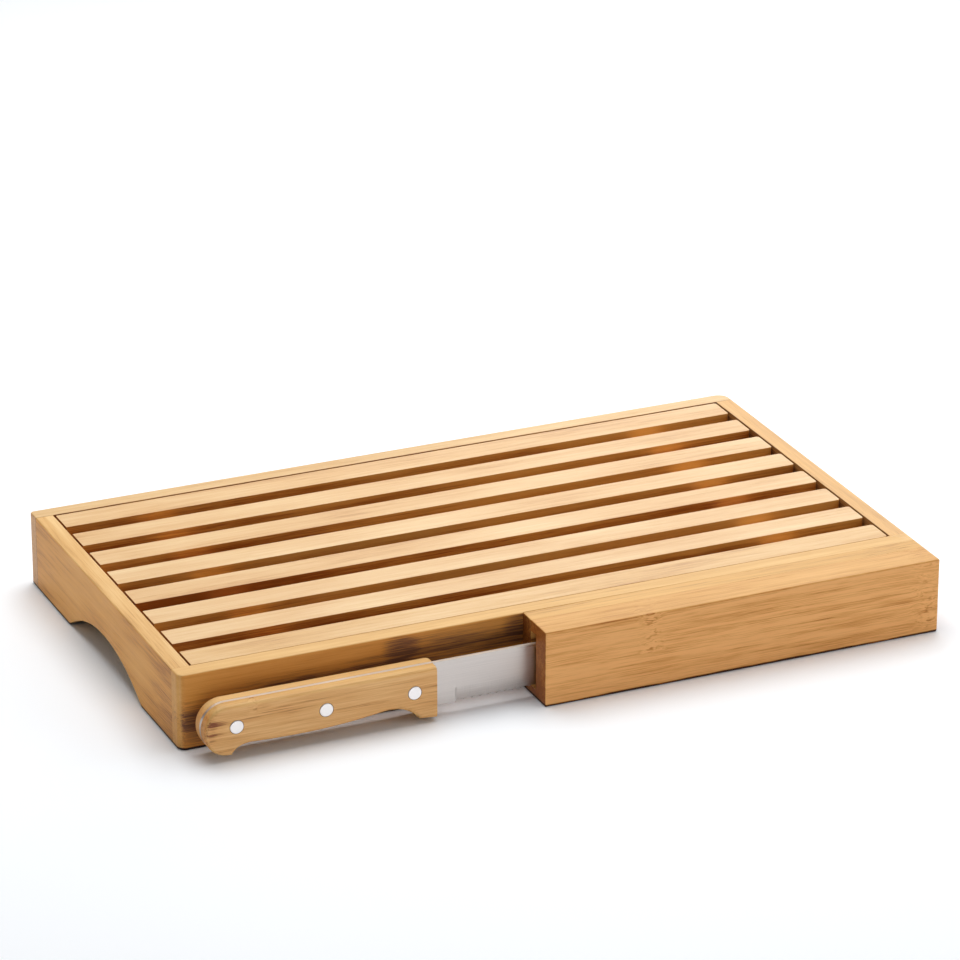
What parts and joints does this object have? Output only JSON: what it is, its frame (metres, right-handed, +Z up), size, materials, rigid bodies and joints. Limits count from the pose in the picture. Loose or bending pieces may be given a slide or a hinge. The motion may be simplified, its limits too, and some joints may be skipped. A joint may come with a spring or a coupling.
{
  "type": "bread board",
  "caption": "Slatted bamboo bread board with a crumb tray under a lift-out grid, arched end grips and a bread knife that slides into a slotted block along the front.",
  "frame": {"origin": "on the table, under the middle of the outline of board and knife block", "axes": "+X along the board towards the knife block's closed end, +Y from the knife to the back rail, +Z up"},
  "size_m": [0.4, 0.243, 0.04],
  "materials": {
    "bamboo_frame": "satin lacquered bamboo strips, edge grain, pale honey",
    "bamboo_slats": "satin lacquered bamboo, flat grain, pale honey",
    "bamboo_block": "satin lacquered bamboo strips with brown fibre streaks",
    "bamboo_underparts": "matt bamboo, darker",
    "bamboo_handle": "satin lacquered bamboo with brown nodes",
    "blade_steel": "fine satin ground stainless steel",
    "rivet_metal": "turned smooth, bright"
  },
  "bodies": {
    "frame": {"back_rail": "bamboo_frame", "front_rail": "bamboo_frame", "left_end_panel": "bamboo_frame", "right_end_panel": "bamboo_frame", "floor_panel": "bamboo_underparts", "knife_block_inner": "bamboo_block", "knife_block_outer": "bamboo_block"},
    "grid": {"grid_batten_left": "bamboo_underparts", "grid_batten_right": "bamboo_underparts", "slat_1": "bamboo_slats", "slat_2": "bamboo_slats", "slat_3": "bamboo_slats", "slat_4": "bamboo_slats", "slat_5": "bamboo_slats", "slat_6": "bamboo_slats", "slat_7": "bamboo_slats", "slat_8": "bamboo_slats"},
    "knife": {"knife_blade": "blade_steel", "handle_scale_front": "bamboo_handle", "handle_scale_rear": "bamboo_handle", "handle_rivet_1": "rivet_metal", "handle_rivet_2": "rivet_metal", "handle_rivet_3": "rivet_metal"}
  },
  "joints": [
    {"name": "knife_slide", "type": "slide", "parent": "frame", "child": "knife", "axis": [1, 0, 0], "range_m": [-0.15, 0.0515]},
    {"name": "grid_lift", "type": "slide", "parent": "frame", "child": "grid", "axis": [0, 0, 1], "range_m": [0, 0.03]}
  ]
}
